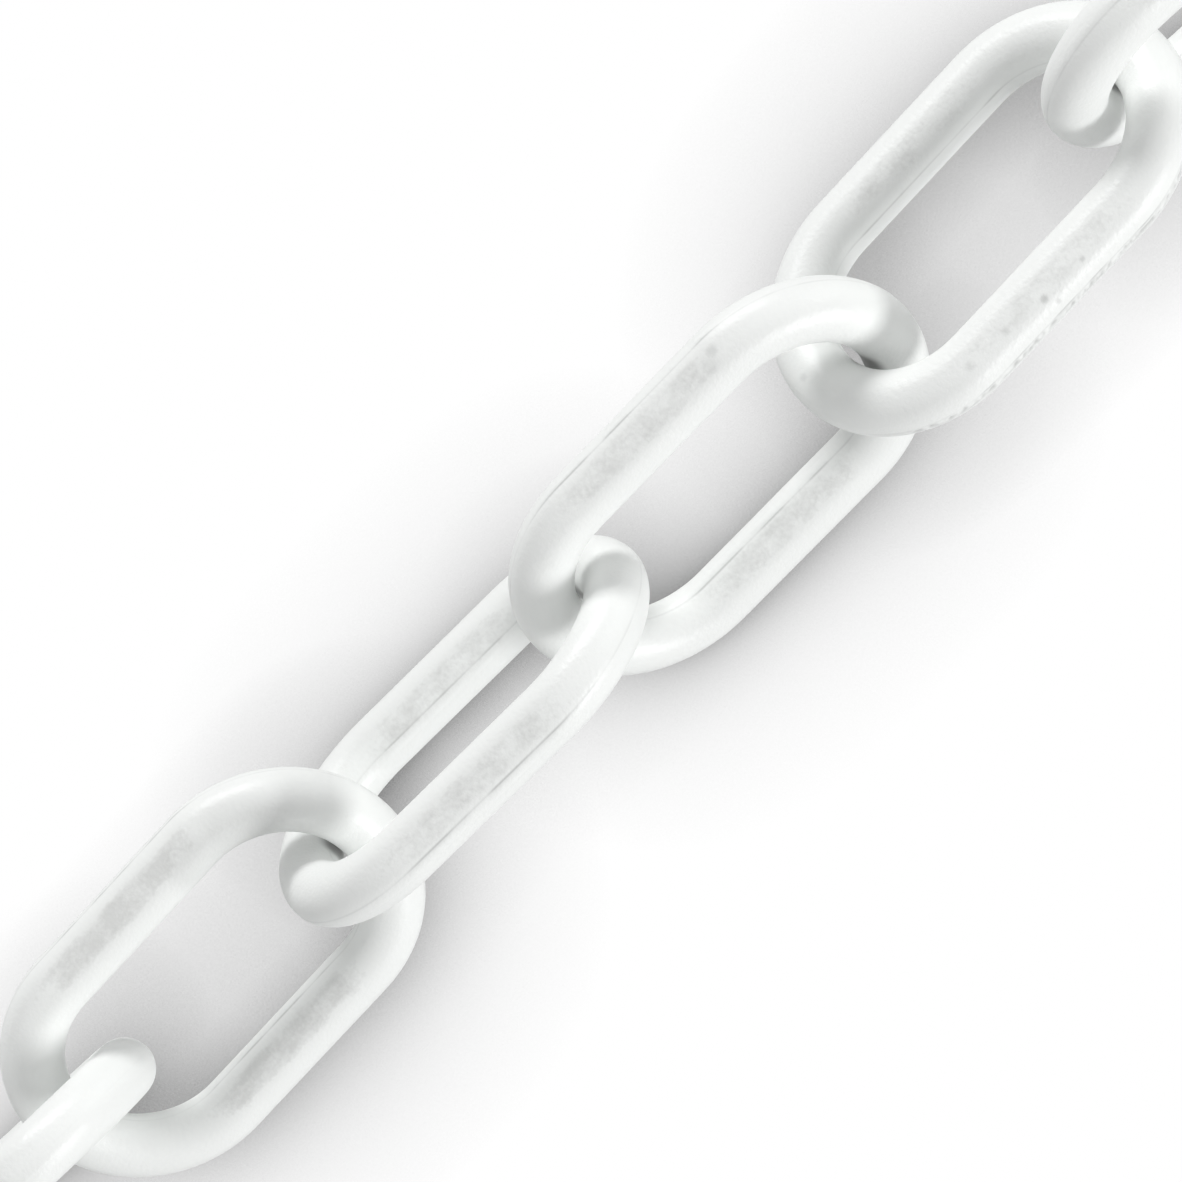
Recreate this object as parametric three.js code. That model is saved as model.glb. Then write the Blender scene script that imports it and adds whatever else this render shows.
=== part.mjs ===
// White plastic chain lying straight on a table, in millimetres, with +Z up and +X along the chain.
//
// Every link is one closed ring of round wire with two straight strands and two half-round ends.
// The links lie rolled to alternate sides, so that each end passes through the opening of the
// next link and bears on the inside of its end. The origin is under the middle of the chain.

import * as THREE from 'three';

// Driving dimensions of one link
const WIRE_DIAMETER = 6;
const INNER_LENGTH = 32.5;
const INNER_WIDTH = 15;

// Left between the wires of two links where one bears on the other
const BEARING_CLEARANCE = 0.3;

// The lay of each link. Roll is about the link's own length, pitch raises its +X end and yaw
// swings it to the side, in degrees. Across is its place to the side. Lift is how far it hangs
// above the table where its steeper neighbours carry it.
const LAY = [
  { roll: -82, pitch: 0, yaw: -2, across: 0.5, lift: 0 },
  { roll: 34, pitch: 0, yaw: 2, across: 0.5, lift: 2.4 },
  { roll: -59, pitch: 3, yaw: -1, across: 0.1, lift: 0 },
  { roll: 53, pitch: 4, yaw: 0, across: -0.3, lift: 0 },
  { roll: -31, pitch: -1, yaw: 2, across: 0, lift: 3 },
  { roll: 78, pitch: 2, yaw: -3, across: -0.8, lift: 0 },
];

// Fineness of the surface
const SECTION_SIDES = 20;
const BEND_STEPS = 18;
const STRAND_STEPS = 2;

// Fineness of the points that the seating measures between
const PROBE_BEND_STEPS = 80;
const PROBE_STRAND_STEPS = 40;

// The wire's centreline: half-round ends of radius bendRadius, joined by two straight strands
const wireRadius = WIRE_DIAMETER / 2;
const bendRadius = INNER_WIDTH / 2 + wireRadius;
const halfStrand = (INNER_LENGTH - INNER_WIDTH) / 2;

// The closed centreline of a link in its own plane, counter-clockwise from the lower end of the
// +X bend. Equal steps of u give bendSteps along each bend and strandSteps along each strand.
class LinkCentreline extends THREE.Curve {
  constructor(bendSteps, strandSteps) {
    super();
    this.bendSteps = bendSteps;
    this.strandSteps = strandSteps;
    this.steps = 2 * (bendSteps + strandSteps);
  }

  // The bend or strand that holds u, as its side (+1 for the first half) and the share of it done
  stretch(u) {
    const halfTurn = this.steps / 2;
    const step = (u % 1) * this.steps;
    const side = step < halfTurn ? 1 : -1;
    const done = step % halfTurn;
    const onBend = done < this.bendSteps;
    const share = onBend ? done / this.bendSteps : (done - this.bendSteps) / this.strandSteps;
    return { side, onBend, share };
  }

  getPointAt(u, target = new THREE.Vector3()) {
    const { side, onBend, share } = this.stretch(u);
    if (!onBend) return target.set(side * halfStrand * (1 - 2 * share), side * bendRadius, 0);
    const angle = Math.PI * (share - 0.5);
    const x = halfStrand + bendRadius * Math.cos(angle);
    return target.set(side * x, side * bendRadius * Math.sin(angle), 0);
  }

  getTangentAt(u, target = new THREE.Vector3()) {
    const { side, onBend, share } = this.stretch(u);
    const angle = onBend ? Math.PI * share : Math.PI;
    return target.set(side * Math.cos(angle), side * Math.sin(angle), 0);
  }
}

// A closed tube: the centreline has no ends, so the skin meets itself all the way round
function linkGeometry() {
  const centreline = new LinkCentreline(BEND_STEPS, STRAND_STEPS);
  return new THREE.TubeGeometry(centreline, centreline.steps, wireRadius, SECTION_SIDES, true);
}

function makeLink(name) {
  const plastic = new THREE.MeshStandardMaterial({ color: 0xf3f5f2, roughness: 0.42, metalness: 0 });
  const link = new THREE.Mesh(linkGeometry(), plastic);
  link.name = name;
  return link;
}

// Height of a link's centre with its lowest point on the table, for an oblong ring of round wire
function restHeight(roll, pitch) {
  const endDrop = halfStrand * Math.abs(Math.sin(pitch));
  const bendDrop = bendRadius * Math.hypot(Math.sin(pitch), Math.cos(pitch) * Math.sin(roll));
  return wireRadius + endDrop + bendDrop;
}

function lay(link, { roll, pitch, yaw, across, lift }) {
  const rollAngle = THREE.MathUtils.degToRad(roll);
  const pitchAngle = THREE.MathUtils.degToRad(pitch);
  const yawAngle = THREE.MathUtils.degToRad(yaw);
  link.rotation.set(rollAngle, -pitchAngle, yawAngle, 'ZYX');
  link.position.set(0, across, restHeight(rollAngle, pitchAngle) + lift);
}

// Points of a link's centreline where it lies
function probePoints(link) {
  link.updateMatrix();
  const centreline = new LinkCentreline(PROBE_BEND_STEPS, PROBE_STRAND_STEPS);
  const points = [];
  for (let i = 0; i < centreline.steps; i += 1) {
    points.push(centreline.getPointAt(i / centreline.steps).applyMatrix4(link.matrix));
  }
  return points;
}

// Smallest distance between two sets of points, with the second set moved by shift along X
function smallestDistance(first, second, shift) {
  let best = Infinity;
  for (const p of first) {
    for (const q of second) {
      const dx = p.x - q.x - shift;
      const dy = p.y - q.y;
      const dz = p.z - q.z;
      best = Math.min(best, dx * dx + dy * dy + dz * dz);
    }
  }
  return Math.sqrt(best);
}

// Draws a link out along the chain until its wire bears on the wire of the link before it
function seat(link, previous) {
  const fixed = probePoints(previous);
  const moving = probePoints(link);
  let loose = previous.position.x + INNER_LENGTH - WIRE_DIAMETER;
  let tight = previous.position.x + INNER_LENGTH + WIRE_DIAMETER;
  let trial = (loose + tight) / 2;
  while (trial > loose && trial < tight) {
    const clear = smallestDistance(fixed, moving, trial) > WIRE_DIAMETER + BEARING_CLEARANCE;
    if (clear) loose = trial;
    else tight = trial;
    trial = (loose + tight) / 2;
  }
  link.position.x = loose;
}

const chain = new THREE.Group();
LAY.forEach((place, index) => {
  const link = makeLink(`link_${index + 1}`);
  lay(link, place);
  if (index > 0) seat(link, chain.children[index - 1]);
  chain.add(link);
});

// The origin goes under the middle of the chain, on the table
const box = new THREE.Box3().setFromObject(chain, true);
const middle = box.getCenter(new THREE.Vector3());
chain.position.set(-middle.x, -middle.y, -box.min.z);

export default chain;
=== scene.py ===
# White moulded plastic chain on a pale floor: six detailed links, a soft light from both sides
# and a camera above. Lengths are in metres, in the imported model's frame.
import math

import bpy
import numpy as np
from mathutils import Matrix, Vector, noise


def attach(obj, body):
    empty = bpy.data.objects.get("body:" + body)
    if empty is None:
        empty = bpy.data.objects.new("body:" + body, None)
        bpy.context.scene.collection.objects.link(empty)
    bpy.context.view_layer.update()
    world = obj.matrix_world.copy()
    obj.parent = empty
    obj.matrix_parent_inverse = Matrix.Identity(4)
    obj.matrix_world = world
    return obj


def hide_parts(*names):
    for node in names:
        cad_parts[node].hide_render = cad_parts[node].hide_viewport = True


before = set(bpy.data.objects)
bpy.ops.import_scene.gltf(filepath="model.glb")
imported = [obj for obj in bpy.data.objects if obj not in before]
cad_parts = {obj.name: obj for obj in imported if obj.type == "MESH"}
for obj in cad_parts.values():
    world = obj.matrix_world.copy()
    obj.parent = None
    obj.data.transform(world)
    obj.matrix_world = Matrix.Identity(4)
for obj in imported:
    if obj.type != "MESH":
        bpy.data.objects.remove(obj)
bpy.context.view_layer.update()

MM = 0.001

# The camera's sensor and lens, in mm, and where it stands: it looks at a point on the floor and
# leans along the chain and to the side, and the chain climbs across the picture at 45 degrees
SENSOR = 36.0
LENS = 132.6
TARGET = Vector((-1.11, 2.25, 0.0)) * MM
DISTANCE = 395.1 * MM
LEAN_ALONG = math.radians(8.30)
LEAN_SIDE = math.radians(7.45)
CLIMB = math.radians(45)
CLIP_START = 10 * MM

# The mould's parting band round the outside and the inside of every link, at angles up from the
# link's plane: a narrow flat land between two fine edges, uneven over a few millimetres, lower on
# the bends than on the strands, with a line of painted shade along its upper foot. BAND_LEAST is
# its share of the height where it is lowest
PARTING_OUTSIDE = math.radians(-12)
PARTING_INSIDE = math.radians(180)
BAND_HEIGHT = 0.07 * MM
BAND_LEAST = 0.35
BAND_ON_BEND = 0.35
BAND_HALF_WIDTH = 0.35 * MM
BAND_FLANK = 0.12 * MM
BAND_PATCH = 2.5 * MM
BAND_FOOT_SHADE = 0.30
# Links whose band has only a share of that painted shade
FAINTER_BAND_SHADE = {"link_1": 0.2}
# Room for the band and the uneven skin inside the CAD model's wire
SKIN_ROOM = 0.12 * MM
# Slow unevenness of the moulded wire: its depth, and the size of one swell
SWELL_DEPTH = 0.01 * MM
SWELL_SIZE = 6.0 * MM
# The noise at which a patch is bare and full, and how far a link's number moves its noise, so
# that no two links are alike
PATCH_BOUNDS = (-0.35, 0.35)
LINK_SHIFT = Vector((0.73, 0.31, 0.57))

# Fineness of the links' meshes: rings along the wire, and points round half of it
BEND_RINGS = 110
STRAND_RINGS = 84
HALF_SECTION = 46

# Dust lies on the strands where they face up, with painted shade that darkens their tops: the
# height of a face's normal at which it begins and is full, the places past a strand's end at which
# it thins and is gone, and the links that have more or less of it
DUST_AND_SHADE_FACING = (0.78, 1.0)
DUST_AND_SHADE_END = (-3.0 * MM, 5.0 * MM)
DUST_AND_SHADE_LOAD = {"link_2": 1.3, "link_5": 0.75}
# Painted shade where two links bear on each other: darkest to the first distance, gone at the second
BEARING_SHADE_REACH = (0.9 * MM, 2.2 * MM)
BEARING_SHADE_DARK = 0.55
# Small dark marks on link_4 and link_5, and a faint grey film of painted shade on the inner side
# of link_2's bend: the link, the place in its own axes in mm, the radius in mm and how dark. A
# mark is full to the first share of its radius and gone at the second
MARK_EDGE = (0.5, 1.2)
MARKS_AND_SHADE_FILM = [
    # The next two rows are a faint grey film of painted shade on link_2's bend
    ("link_2", (8.5, 9.3, 2.7), 3.6, 0.12),
    ("link_2", (12.5, 8.8, 2.8), 4.2, 0.14),
    ("link_5", (-1.2, -12.7, 1.9), 0.40, 0.28),
    ("link_5", (-0.5, -13.3, 1.0), 0.32, 0.20),
    ("link_5", (3.4, -12.7, 1.9), 0.28, 0.22),
    ("link_5", (-5.4, -12.4, 2.3), 0.45, 0.12),
    ("link_5", (-9.6, -12.2, 2.4), 0.50, 0.12),
    ("link_5", (-20.3, -0.1, 2.7), 0.45, 0.14),
    ("link_4", (9.2, 13.1, 1.4), 0.60, 0.16),
    ("link_4", (8.2, 12.6, 2.0), 0.80, 0.10),
]
# Rough flash low on the outer side of one strand: its link, which strand, its angle up from the
# link's plane and half its width, how squarely the wire faces out where it begins and is full, the
# size and depth of its pits and how dark they are
FLASH_LINK = "link_5"
FLASH_SIDE = -1
FLASH_ANGLE = math.radians(-14)
FLASH_HALF_WIDTH = 0.75 * MM
FLASH_FACING = (0.5, 0.9)
PIT_SIZE = 0.5 * MM
PIT_DEPTH = 0.15 * MM
PIT_DARKENING = 0.42

# The plastic where it is clean; where it is dusty, with painted shade on its tops; and its
# near-black, which is soil in the small marks, painted shade at the bearings, in link_2's grey film
# and along the bands' upper feet, and the darkening of the flash's pits
PLASTIC_CLEAN = (0.90, 0.915, 0.902, 1.0)
PLASTIC_DUSTY_AND_SHADED = (0.738, 0.747, 0.735, 1.0)
PLASTIC_SOILED_AND_SHADED = (0.055, 0.055, 0.05, 1.0)
# The size of the fine grains and of the blotches of the dust and its painted shade, how far the
# blotches are drawn out along the link, and how much finer detail grains and blotches have
DUST_AND_SHADE_GRAIN = 0.42 * MM
DUST_AND_SHADE_BLOTCH = 1.8 * MM
DUST_AND_SHADE_STRETCH = 1.6
GRAIN_DETAIL = 2.0
BLOTCH_DETAIL = 3.0
# How much the blotches count beside the grains, and the sum of the share of dust and painted
# shade, grains and blotches at which a point is clean and fully dusty and shaded
BLOTCH_WEIGHT = 1.8
DUST_AND_SHADE_BOUNDS = (2.05, 2.85)
# The plastic's gloss: its reflection, and its roughness, which follows the blotches
PLASTIC_SPECULAR = 0.5
ROUGH_LEAST = 0.3
ROUGH_MOST = 0.46
# The skin's fine grain: its size and depth
GRAIN_SIZE = 0.4 * MM
GRAIN_DEPTH = 0.04 * MM

# The floor: its reach and colour, how far the chain shades it, how deeply and how finely sampled
FLOOR_REACH = 20.0
FLOOR_COLOUR = (0.68, 0.68, 0.68, 1.0)
SHADE_REACH = 17 * MM
SHADE_DEPTH = 1.05
SHADE_SAMPLES = 4

# The colour of the room's light and of the world that the camera sees
WHITE = (1, 1, 1, 1)
# The light of the room all round, how far away the lamps stand, and the soft boxes: name, azimuth
# from +X towards +Y and elevation in degrees, width and height in metres, and strength
ROOM_LIGHT = 0.48
LAMP_DISTANCE = 1.2
SOFT_BOXES = [
    ("left", 69, 22, 0.75, 0.28, 0.59),
    ("right", -69, 22, 0.75, 0.28, 0.57),
    ("end", 0, 24, 0.52, 0.32, 0.04),
    ("start", 180, 14, 0.8, 0.32, 0.05),
]


def link_frame(node):
    """The middle of a link and its own axes: along it, across it and out of its plane."""
    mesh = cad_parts[node].data
    points = np.array([v.co for v in mesh.vertices])
    middle = points.mean(axis=0)
    spread = np.linalg.eigh(np.cov((points - middle).T))[1]
    out = Vector(spread[:, 0])
    along = Vector(spread[:, 2])
    if out.z < 0:
        out = -out
    if along.x < 0:
        along = -along
    across = out.cross(along)
    turn = Matrix((along, across, out)).transposed()
    local = (points - middle) @ np.array(turn)
    size = Vector(local.max(axis=0) - local.min(axis=0))
    return Matrix.Translation(Vector(middle)) @ turn.to_4x4(), size


def centreline(size):
    """The rings along the wire: the middle of each, on the centreline, and its outward direction."""
    bend = (size.y - size.z) / 2
    half = (size.x - size.y) / 2
    rings = []
    for side in (1, -1):
        for i in range(BEND_RINGS):
            turn = math.pi * (i / BEND_RINGS - 0.5)
            outward = Vector((math.cos(turn), math.sin(turn), 0)) * side
            rings.append((Vector((half * side, 0, 0)) + outward * bend, outward))
        outward = Vector((0, side, 0))
        for i in range(STRAND_RINGS):
            x = half * side * (1 - 2 * i / STRAND_RINGS)
            rings.append((Vector((x, 0, 0)) + outward * bend, outward))
    return rings


def section_angles(wire):
    """Angles round the wire, with points on the edges and at the feet of both parting bands."""
    flat = BAND_HALF_WIDTH / wire
    foot = flat + BAND_FLANK / wire
    angles = []
    round_again = PARTING_OUTSIDE + 2 * math.pi
    for start, end in ((PARTING_OUTSIDE, PARTING_INSIDE), (PARTING_INSIDE, round_again)):
        angles += [start - flat, start, start + flat]
        room = end - start - 2 * foot
        angles += [start + foot + room * i / HALF_SECTION for i in range(HALF_SECTION + 1)]
    return angles


def ease(value, low, high):
    """Rises smoothly from 0 at low to 1 at high."""
    share = min(1.0, max(0.0, (value - low) / (high - low)))
    return share * share * (3 - 2 * share)


def patches(point, size, shift):
    """Uneven patches of a size, from 0 to 1."""
    return ease(noise.noise(point / size + shift), *PATCH_BOUNDS)


def turned_from(angle, other):
    """The turn between two angles, without its sign."""
    return abs((angle - other + math.pi) % (2 * math.pi) - math.pi)


def band_shares(angle, wire):
    """How high a parting band stands at an angle and how near its upper foot is, from 0 to 1."""
    middle = min((PARTING_OUTSIDE, PARTING_INSIDE), key=lambda band: turned_from(angle, band))
    beyond = (turned_from(angle, middle) * wire - BAND_HALF_WIDTH) / BAND_FLANK
    foot = 0.0
    if math.sin(angle) > math.sin(middle):
        foot = max(0.0, 1 - abs(beyond - 1))
    return min(1.0, max(0.0, 1 - beyond)), foot


def flash_share(node, outward, angle, wire):
    """How near a point is to the rough flash: 1 on it and 0 beside it."""
    if node != FLASH_LINK:
        return 0.0
    across = max(0.0, 1 - turned_from(angle, FLASH_ANGLE) * wire / FLASH_HALF_WIDTH)
    return across * ease(outward.y * FLASH_SIDE, *FLASH_FACING)


def bearing_points(frames):
    """For each link, the points midway between its wire and the wires of its neighbours."""
    wires = {}
    for node, (place, size) in frames.items():
        wires[node] = np.array([place @ middle for middle, outward in centreline(size)])
    bearings = {node: [] for node in frames}
    names = list(frames)
    for first, second in zip(names, names[1:]):
        gaps = np.linalg.norm(wires[first][:, None] - wires[second][None], axis=2)
        i, j = np.unravel_index(gaps.argmin(), gaps.shape)
        point = Vector((wires[first][i] + wires[second][j]) / 2)
        bearings[first].append(point)
        bearings[second].append(point)
    return bearings


def soil_and_shade_share(node, point, world, bearings):
    """How dark a point is made by the small marks, by link_2's grey film of painted shade and by the
    painted shade at the bearings.
    """
    soil_and_shade = 0.0
    for link, spot, radius, dark in MARKS_AND_SHADE_FILM:
        if link == node:
            away = (point - Vector(spot) * MM).length / (radius * MM)
            soil_and_shade = max(soil_and_shade, dark * (1 - ease(away, *MARK_EDGE)))
    for bearing in bearings:
        near = 1 - ease((world - bearing).length, *BEARING_SHADE_REACH)
        # Painted shade where two links bear on each other
        soil_and_shade = max(soil_and_shade, BEARING_SHADE_DARK * near)
    return soil_and_shade


def ring_faces(rings, count):
    """Faces between rings of count points each, the last ring joined to the first."""
    faces = []
    for i in range(rings):
        here = i * count
        there = (i + 1) % rings * count
        for j in range(count):
            k = (j + 1) % count
            faces.append((here + j, there + j, there + k, here + k))
    return faces


def link_mesh(name, node, place, size, bearings, seed):
    """A closed ring of round wire with its parting bands, at its place in the chain. Each point
    keeps its place in the link's own axes for the plastic's grain, its share of dust with painted
    shade on the tops, and its share of soil and painted shade."""
    wire = size.z / 2
    half = (size.x - size.y) / 2
    radius = wire - SKIN_ROOM
    turn = place.to_3x3()
    out = Vector((0, 0, 1))
    shift = LINK_SHIFT * seed
    angles = section_angles(wire)
    bands = [band_shares(angle, wire) for angle in angles]
    load = DUST_AND_SHADE_LOAD.get(node, 1.0)
    # Painted shade along the upper foot of the parting band
    foot_shade = BAND_FOOT_SHADE * FAINTER_BAND_SHADE.get(node, 1.0)
    points = []
    dust_and_top_shade = []
    soil_and_shade = []
    for middle, outward in centreline(size):
        beyond = abs(middle.x) - half
        dusty_and_shaded = load * (1 - ease(beyond, *DUST_AND_SHADE_END))
        standing = 1 - (1 - BAND_ON_BEND) * ease(beyond, 0.0, wire)
        for angle, (band, foot) in zip(angles, bands):
            normal = outward * math.cos(angle) + out * math.sin(angle)
            skin = middle + normal * wire
            if band > 0 or foot > 0:
                uneven = standing * (BAND_LEAST + (1 - BAND_LEAST) * patches(skin, BAND_PATCH, shift))
                band *= uneven
                foot *= uneven
            flash = flash_share(node, outward, angle, wire)
            if flash > 0:
                flash *= patches(skin, PIT_SIZE, shift)
            swell = noise.noise(skin / SWELL_SIZE + shift) * SWELL_DEPTH
            reach = radius + band * BAND_HEIGHT - flash * PIT_DEPTH + swell
            point = middle + normal * reach
            points.append(point)
            # Dust, with painted shade that darkens the faces looking up
            dust_and_top_shade.append(dusty_and_shaded * ease((turn @ normal).z, *DUST_AND_SHADE_FACING))
            # Soil in the small marks; painted shade in link_2's film, at the bearings and along the
            # bands' upper feet; darker flash pits
            marks_and_shade = soil_and_shade_share(node, point, place @ point, bearings)
            soil_and_shade.append(max(marks_and_shade, foot * foot_shade, flash * PIT_DARKENING))
    faces = ring_faces(len(points) // len(angles), len(angles))
    mesh = bpy.data.meshes.new(name)
    mesh.from_pydata([place @ point for point in points], [], faces)
    own = mesh.attributes.new("own_place", "FLOAT_VECTOR", "POINT")
    own.data.foreach_set("vector", [value for point in points for value in point + shift])
    mesh.attributes.new("dust_and_top_shade", "FLOAT", "POINT").data.foreach_set("value", dust_and_top_shade)
    mesh.attributes.new("soil_and_shade", "FLOAT", "POINT").data.foreach_set("value", soil_and_shade)
    mesh.shade_smooth()
    return mesh


def grain(nodes, links, place, size, detail, stretch=1.0):
    """Noise with grains of a size, drawn out along the link by stretch."""
    spread = nodes.new("ShaderNodeMapping")
    spread.inputs["Scale"].default_value = (1 / (size * stretch), 1 / size, 1 / size)
    links.new(place.outputs["Vector"], spread.inputs["Vector"])
    noise_node = nodes.new("ShaderNodeTexNoise")
    noise_node.inputs["Scale"].default_value = 1.0
    noise_node.inputs["Detail"].default_value = detail
    links.new(spread.outputs["Vector"], noise_node.inputs["Vector"])
    return noise_node.outputs["Fac"]


def bump(nodes, links, height, depth):
    """Raises the surface by a noise times a depth."""
    node = nodes.new("ShaderNodeBump")
    node.inputs["Strength"].default_value = 1.0
    node.inputs["Distance"].default_value = depth
    links.new(height, node.inputs["Height"])
    return node.outputs["Normal"]


def share_of(nodes, name):
    """A number that the mesh keeps for each point."""
    node = nodes.new("ShaderNodeAttribute")
    node.attribute_name = name
    return node


def tint(nodes, links, share, first, second):
    """Mixes a colour, or the colour of a node, towards a second colour by a share."""
    node = nodes.new("ShaderNodeMix")
    node.data_type = "RGBA"
    links.new(share, node.inputs["Factor"])
    if isinstance(first, tuple):
        node.inputs["A"].default_value = first
    else:
        links.new(first, node.inputs["A"])
    node.inputs["B"].default_value = second
    return node.outputs["Result"]


def dust_and_shade_cover(nodes, links, place, blotches):
    """How thickly dust and painted shade cover a point: their share, broken up by fine specks and
    blotches.
    """
    specks = grain(nodes, links, place, DUST_AND_SHADE_GRAIN, GRAIN_DETAIL)
    specks_and_blotches = nodes.new("ShaderNodeMath")
    specks_and_blotches.operation = "MULTIPLY_ADD"
    links.new(blotches, specks_and_blotches.inputs[0])
    specks_and_blotches.inputs[1].default_value = BLOTCH_WEIGHT
    links.new(specks, specks_and_blotches.inputs[2])
    dust_and_shade_sum = nodes.new("ShaderNodeMath")
    dust_and_shade_sum.operation = "ADD"
    links.new(specks_and_blotches.outputs["Value"], dust_and_shade_sum.inputs[0])
    links.new(share_of(nodes, "dust_and_top_shade").outputs["Fac"], dust_and_shade_sum.inputs[1])
    cover = nodes.new("ShaderNodeMapRange")
    cover.inputs["From Min"].default_value = DUST_AND_SHADE_BOUNDS[0]
    cover.inputs["From Max"].default_value = DUST_AND_SHADE_BOUNDS[1]
    links.new(dust_and_shade_sum.outputs["Value"], cover.inputs["Value"])
    return cover.outputs["Result"]


def plastic_material():
    """White moulded plastic: a soft gloss and a fine grain, grey dust with painted shade in fine
    specks and blotches on what faces up, soil in the marks, painted shade in link_2's film, along the
    parting bands and at the bearings, and darker pits in the flash."""
    material = bpy.data.materials.new("white_plastic")
    material.use_nodes = True
    nodes = material.node_tree.nodes
    links = material.node_tree.links
    shader = nodes["Principled BSDF"]
    shader.inputs["Specular IOR Level"].default_value = PLASTIC_SPECULAR
    place = share_of(nodes, "own_place")
    blotches = grain(nodes, links, place, DUST_AND_SHADE_BLOTCH, BLOTCH_DETAIL, DUST_AND_SHADE_STRETCH)
    cover = dust_and_shade_cover(nodes, links, place, blotches)
    # Grey dust, with painted shade that darkens the tops
    dusty_and_shaded = tint(nodes, links, cover, PLASTIC_CLEAN, PLASTIC_DUSTY_AND_SHADED)
    # Soil in the marks, and painted shade in link_2's film, at the bearings and along the bands' feet
    soil_and_shade = share_of(nodes, "soil_and_shade").outputs["Fac"]
    links.new(tint(nodes, links, soil_and_shade, dusty_and_shaded, PLASTIC_SOILED_AND_SHADED), shader.inputs["Base Color"])
    gloss = nodes.new("ShaderNodeMapRange")
    gloss.inputs["To Min"].default_value = ROUGH_LEAST
    gloss.inputs["To Max"].default_value = ROUGH_MOST
    links.new(blotches, gloss.inputs["Value"])
    links.new(gloss.outputs["Result"], shader.inputs["Roughness"])
    fine = grain(nodes, links, place, GRAIN_SIZE, GRAIN_DETAIL)
    skin = bump(nodes, links, fine, GRAIN_DEPTH)
    links.new(skin, shader.inputs["Normal"])
    return material


def floor_material():
    """A pale floor. The camera sees it white, and darker where the chain shades it."""
    material = bpy.data.materials.new("pale_floor")
    material.use_nodes = True
    nodes = material.node_tree.nodes
    links = material.node_tree.links
    paint = nodes["Principled BSDF"]
    paint.inputs["Base Color"].default_value = FLOOR_COLOUR
    paint.inputs["Roughness"].default_value = 1.0
    paint.inputs["Specular IOR Level"].default_value = 0.0
    shade = nodes.new("ShaderNodeAmbientOcclusion")
    shade.samples = SHADE_SAMPLES
    shade.inputs["Distance"].default_value = SHADE_REACH
    depth = nodes.new("ShaderNodeGamma")
    depth.inputs["Gamma"].default_value = SHADE_DEPTH
    links.new(shade.outputs["Color"], depth.inputs["Color"])
    glow = nodes.new("ShaderNodeEmission")
    links.new(depth.outputs["Color"], glow.inputs["Color"])
    path = nodes.new("ShaderNodeLightPath")
    mix = nodes.new("ShaderNodeMixShader")
    links.new(path.outputs["Is Camera Ray"], mix.inputs["Fac"])
    links.new(paint.outputs["BSDF"], mix.inputs[1])
    links.new(glow.outputs["Emission"], mix.inputs[2])
    links.new(mix.outputs["Shader"], nodes["Material Output"].inputs["Surface"])
    return material


def make_floor():
    """One wide triangle, so that no seam of the floor runs under the chain."""
    corners = []
    for turn in range(3):
        angle = math.radians(120 * turn)
        corners.append((FLOOR_REACH * math.cos(angle), FLOOR_REACH * math.sin(angle), 0))
    mesh = bpy.data.meshes.new("floor")
    mesh.from_pydata(corners, [], [(0, 1, 2)])
    floor = bpy.data.objects.new("floor", mesh)
    bpy.context.scene.collection.objects.link(floor)
    mesh.materials.append(floor_material())


def make_camera():
    """The camera. CLIMB turns the picture's axes from the chain's direction and the one across it."""
    back = Vector((math.sin(LEAN_ALONG), -math.cos(LEAN_ALONG) * math.sin(LEAN_SIDE),
                   math.cos(LEAN_ALONG) * math.cos(LEAN_SIDE)))
    along = Vector((math.cos(LEAN_ALONG), math.sin(LEAN_ALONG) * math.sin(LEAN_SIDE),
                    -math.sin(LEAN_ALONG) * math.cos(LEAN_SIDE)))
    aside = back.cross(along)
    right = along * math.cos(CLIMB) - aside * math.sin(CLIMB)
    up = along * math.sin(CLIMB) + aside * math.cos(CLIMB)
    data = bpy.data.cameras.new("camera")
    data.sensor_width = SENSOR
    data.lens = LENS
    data.clip_start = CLIP_START
    camera = bpy.data.objects.new("camera", data)
    bpy.context.scene.collection.objects.link(camera)
    turn = Matrix((right, up, back)).transposed().to_4x4()
    camera.matrix_world = Matrix.Translation(TARGET + back * DISTANCE) @ turn
    bpy.context.scene.camera = camera


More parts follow.
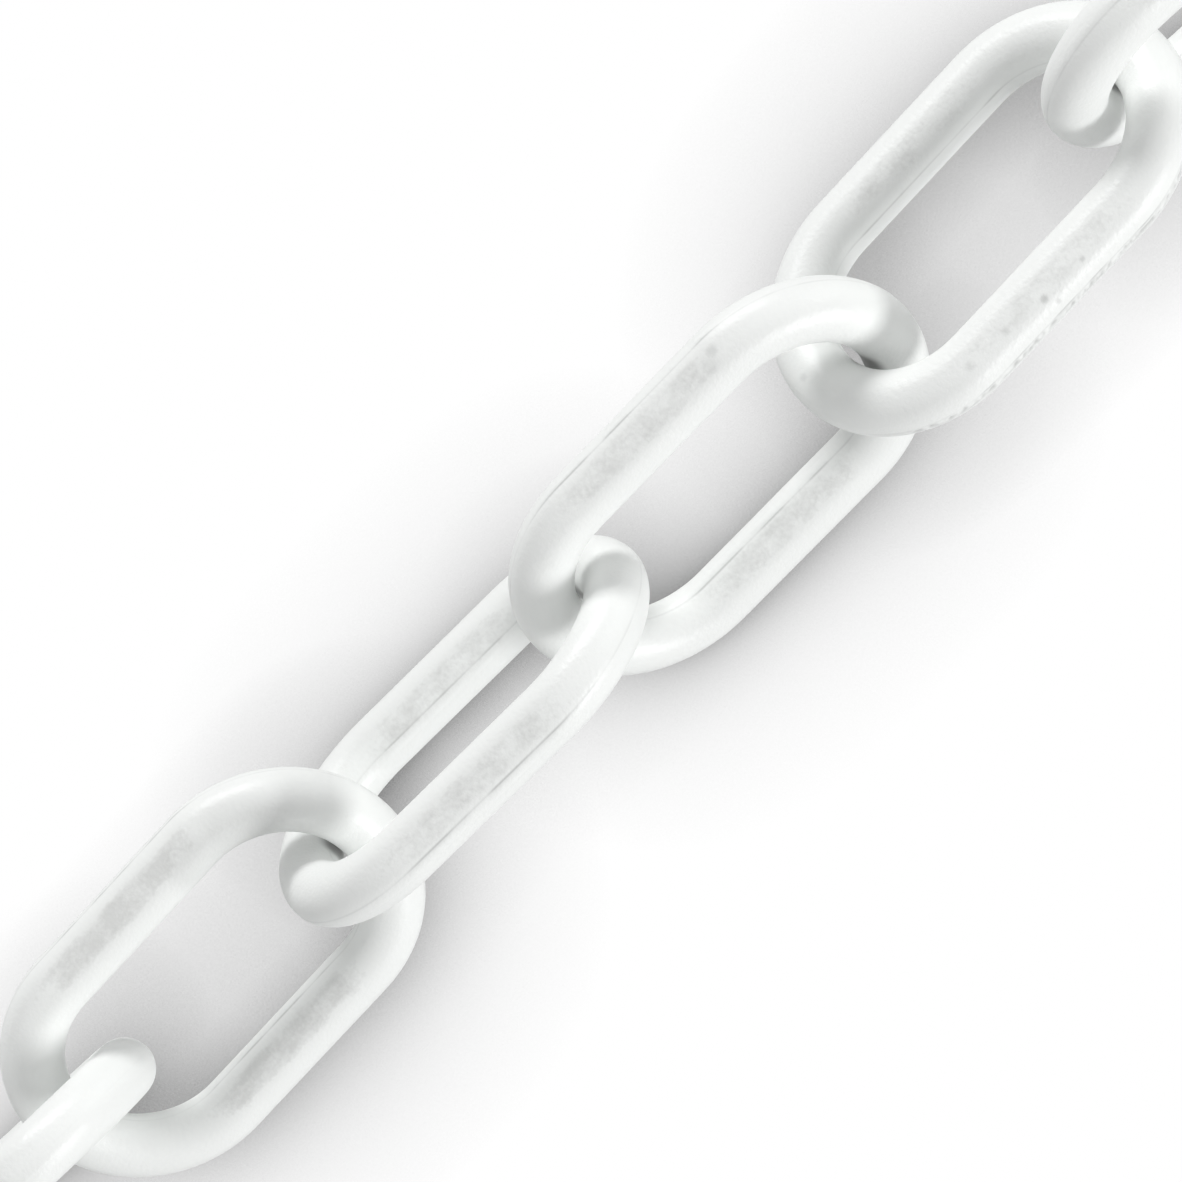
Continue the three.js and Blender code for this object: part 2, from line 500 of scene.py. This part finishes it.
def soft_box(name, azimuth, elevation, width, height, strength):
    """A large soft lamp, aimed at the chain. Azimuth is from +X towards +Y. Strength is what it
    adds to a white surface that faces it. On its axis a flat lamp gives its power over pi times
    the distance squared."""
    data = bpy.data.lights.new(name, "AREA")
    data.shape = "RECTANGLE"
    data.size = width
    data.size_y = height
    arriving = strength * math.pi
    data.energy = arriving * math.pi * LAMP_DISTANCE ** 2
    lamp = bpy.data.objects.new(name, data)
    bpy.context.scene.collection.objects.link(lamp)
    flat = LAMP_DISTANCE * math.cos(elevation)
    lamp.location = (flat * math.cos(azimuth), flat * math.sin(azimuth),
                     LAMP_DISTANCE * math.sin(elevation))
    lamp.rotation_euler = lamp.location.to_track_quat("Z", "Y").to_euler()
    lamp.visible_camera = False


def make_lights():
    """The room's even light and the soft boxes. The camera sees the world white."""
    world = bpy.data.worlds.new("studio")
    bpy.context.scene.world = world
    world.use_nodes = True
    nodes = world.node_tree.nodes
    links = world.node_tree.links
    room = nodes["Background"]
    room.inputs["Color"].default_value = WHITE
    room.inputs["Strength"].default_value = ROOM_LIGHT
    white = nodes.new("ShaderNodeBackground")
    white.inputs["Color"].default_value = WHITE
    path = nodes.new("ShaderNodeLightPath")
    mix = nodes.new("ShaderNodeMixShader")
    links.new(path.outputs["Is Camera Ray"], mix.inputs["Fac"])
    links.new(room.outputs["Background"], mix.inputs[1])
    links.new(white.outputs["Background"], mix.inputs[2])
    links.new(mix.outputs["Shader"], nodes["World Output"].inputs["Surface"])
    for name, azimuth, elevation, width, height, strength in SOFT_BOXES:
        soft_box(name, math.radians(azimuth), math.radians(elevation), width, height, strength)


def make_links(material):
    """One detailed link for each plain one, at its place and on its body."""
    frames = {node: link_frame(node) for node in sorted(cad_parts)}
    bearings = bearing_points(frames)
    for seed, (node, (place, size)) in enumerate(frames.items(), start=1):
        name = "moulded_" + node
        mesh = link_mesh(name, node, place, size, bearings[node], seed)
        piece = bpy.data.objects.new(name, mesh)
        bpy.context.scene.collection.objects.link(piece)
        mesh.materials.append(material)
        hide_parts(node)
        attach(piece, node)


bpy.context.scene.view_settings.view_transform = "Standard"
make_camera()
make_lights()
make_floor()
make_links(plastic_material())
